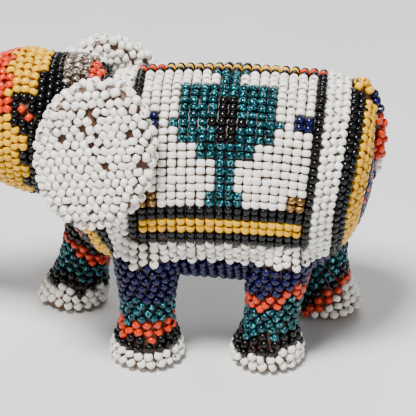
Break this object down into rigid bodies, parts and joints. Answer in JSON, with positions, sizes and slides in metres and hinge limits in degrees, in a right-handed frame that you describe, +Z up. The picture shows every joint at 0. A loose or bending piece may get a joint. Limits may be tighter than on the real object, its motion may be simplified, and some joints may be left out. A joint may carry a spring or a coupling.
{
  "type": "beaded elephant figure",
  "caption": "Small standing elephant with a raised trunk, a carved wood core coated in wax and covered all over in rows of coloured glass seed beads.",
  "frame": {"origin": "on the ground under the middle of the figure's bounding box", "axes": "+Z up, the head faces -X, +Y to the elephant's right"},
  "size_m": [0.115, 0.0552, 0.076],
  "materials": {
    "carved_wood": "bare",
    "beeswax": "satin wax",
    "white_beads": "opaque gloss",
    "black_beads": "opaque gloss",
    "yellow_beads": "opaque gloss",
    "orange_beads": "opaque gloss",
    "navy_beads": "dark gloss",
    "teal_beads": "silver lined",
    "crystal_beads": "silver lined"
  },
  "bodies": {
    "root": {"torso_core": "carved_wood", "head_core": "carved_wood", "trunk_core": "carved_wood", "tail_core": "carved_wood", "ear_left_core": "carved_wood", "ear_right_core": "carved_wood", "front_left_leg_core": "carved_wood", "front_right_leg_core": "carved_wood", "rear_left_leg_core": "carved_wood", "rear_right_leg_core": "carved_wood", "torso_wax": "beeswax", "head_wax": "beeswax", "trunk_wax": "beeswax", "tail_wax": "beeswax", "ear_left_wax": "beeswax", "ear_right_wax": "beeswax", "front_left_leg_wax": "beeswax", "front_right_leg_wax": "beeswax", "rear_left_leg_wax": "beeswax", "rear_right_leg_wax": "beeswax", "shoulder_band": "yellow_beads", "rump_band": "yellow_beads", "chest_beads": "navy_beads", "rump_beads": "navy_beads", "belly_beads": "navy_beads", "spine_beads": "black_beads", "netting_left": "white_beads", "netting_right": "white_beads", "border_left": "black_beads", "border_right": "black_beads", "motif_left": "teal_beads", "motif_right": "teal_beads", "blanket_left": "white_beads", "blanket_right": "white_beads", "crown_beads": "crystal_beads", "head_beads": "black_beads", "cheek_left": "yellow_beads", "cheek_right": "yellow_beads", "eye_left": "orange_beads", "eye_right": "orange_beads", "brow_beads": "yellow_beads", "trunk_beads": "orange_beads", "tail_beads": "orange_beads", "ear_left_beads": "white_beads", "ear_right_beads": "white_beads", "front_left_thigh_beads": "navy_beads", "front_left_shank_beads": "teal_beads", "front_left_foot_beads": "white_beads", "front_right_thigh_beads": "navy_beads", "front_right_shank_beads": "teal_beads", "front_right_foot_beads": "white_beads", "rear_left_thigh_beads": "navy_beads", "rear_left_shank_beads": "teal_beads", "rear_left_foot_beads": "white_beads", "rear_right_thigh_beads": "navy_beads", "rear_right_shank_beads": "teal_beads", "rear_right_foot_beads": "white_beads"}
  },
  "joints": []
}
